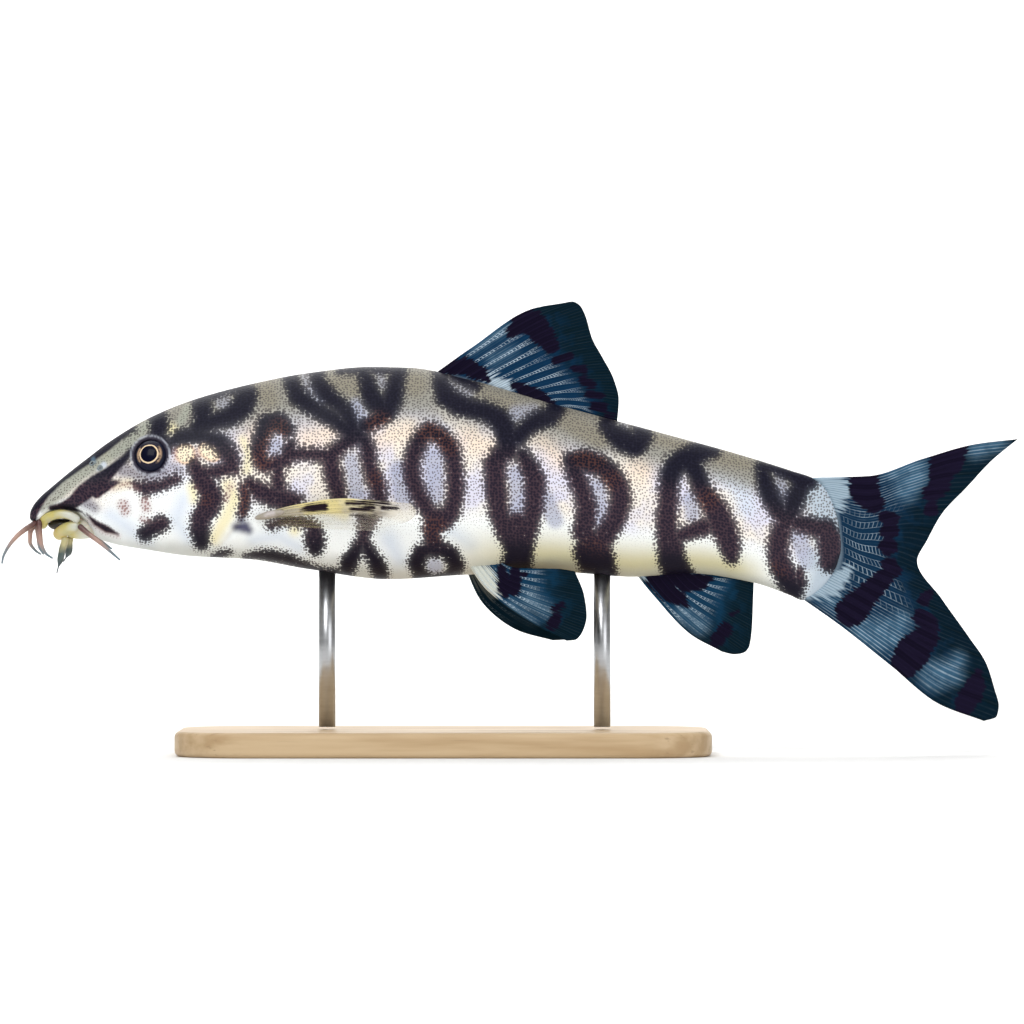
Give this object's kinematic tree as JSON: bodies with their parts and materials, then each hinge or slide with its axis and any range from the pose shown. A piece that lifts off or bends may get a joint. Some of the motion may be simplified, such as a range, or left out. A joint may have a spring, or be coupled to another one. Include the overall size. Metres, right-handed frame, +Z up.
{
  "type": "yoyo loach model",
  "caption": "Life-size still model of a yoyo loach swimming level, with ringed and barred skin, rayed fins and barbels, on a flat display base with short rods.",
  "frame": {"origin": "centre of the whole model's footprint, at the underside of the stand's base", "axes": "+Z up, +X from the snout towards the tail, +Y towards the fish's right side"},
  "size_m": [0.1219, 0.034, 0.0543],
  "materials": {
    "skin": "satin skin, cream to bluish white with dark rings and bars edged in rust",
    "lips": "moist yellow lips",
    "mouth_lining": "dark moist lining",
    "eyes": "glossy clear cornea over a golden brown iris and a black pupil",
    "barbels": "soft, brown-pink at the root to blue-grey at the tip",
    "fins": "satin blue-grey membrane with dark bands and pale ray segments",
    "pectoral_fins": "translucent pale yellow membrane with dark streaks",
    "stand_base": "pale satin wood with softened edges",
    "stand_rods": "brushed steel"
  },
  "bodies": {
    "root": {"head": "skin", "trunk": "skin", "tail": "skin", "upper_lip": "lips", "lower_lip": "lips", "mouth_lining": "mouth_lining", "eye_left": "eyes", "eye_right": "eyes", "barbel_rostral_outer_left": "barbels", "barbel_rostral_outer_right": "barbels", "barbel_rostral_inner_left": "barbels", "barbel_rostral_inner_right": "barbels", "barbel_maxillary_left": "barbels", "barbel_maxillary_right": "barbels", "barbel_mandibular_left": "barbels", "barbel_mandibular_right": "barbels", "dorsal_fin": "fins", "anal_fin": "fins", "caudal_fin_upper": "fins", "caudal_fin_lower": "fins", "pelvic_fin_left": "fins", "pelvic_fin_right": "fins", "pectoral_fin_left": "pectoral_fins", "pectoral_fin_right": "pectoral_fins", "stand_base": "stand_base", "stand_rod_front": "stand_rods", "stand_rod_rear": "stand_rods"}
  },
  "joints": []
}
